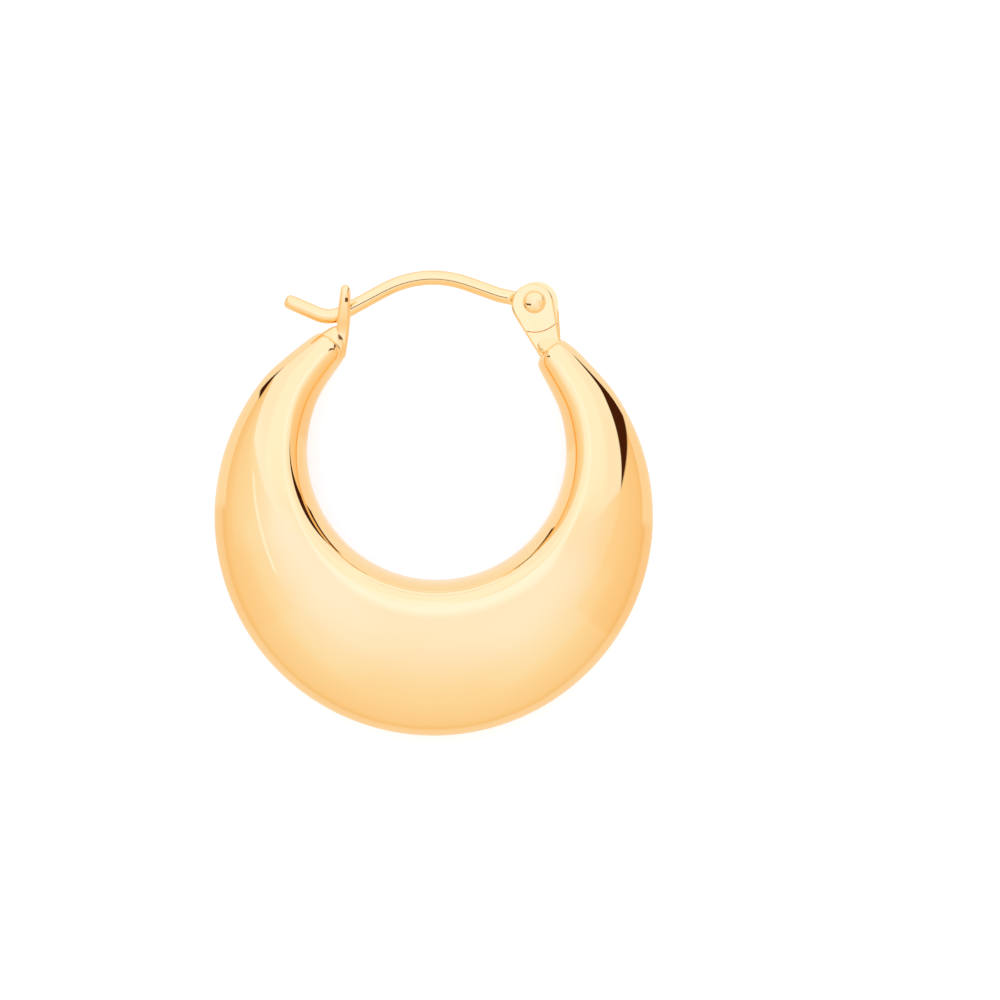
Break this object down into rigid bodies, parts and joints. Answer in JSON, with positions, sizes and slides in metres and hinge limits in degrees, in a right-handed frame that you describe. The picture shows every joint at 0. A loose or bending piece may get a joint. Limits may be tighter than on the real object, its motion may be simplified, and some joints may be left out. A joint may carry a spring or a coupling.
{
  "type": "creole hoop earring",
  "caption": "Hollow puffed crescent hoop earring in polished yellow gold, with a hinged ear wire that swings up out of a slotted catch.",
  "frame": {"origin": "under the middle of the whole earring, on the surface that it lies on", "axes": "+Z square to the hoop's plane, +Y from the thick belly towards the ear wire, +X towards the hinge"},
  "size_m": [0.025, 0.0266, 0.0056],
  "materials": {
    "hoop_gold": "mirror-polished yellow gold",
    "rivet_gold": "polished yellow gold",
    "wire_gold": "polished yellow gold"
  },
  "bodies": {
    "hoop": {"hoop": "hoop_gold", "hinge_pin": "rivet_gold"},
    "wire": {"ear_wire": "wire_gold"}
  },
  "joints": [
    {"name": "wire_hinge", "type": "hinge", "parent": "hoop", "child": "wire", "pos_m": [0.00518, 0.01167, 0.0028], "axis": [0, 0, -1], "range_deg": [0, 100]}
  ]
}
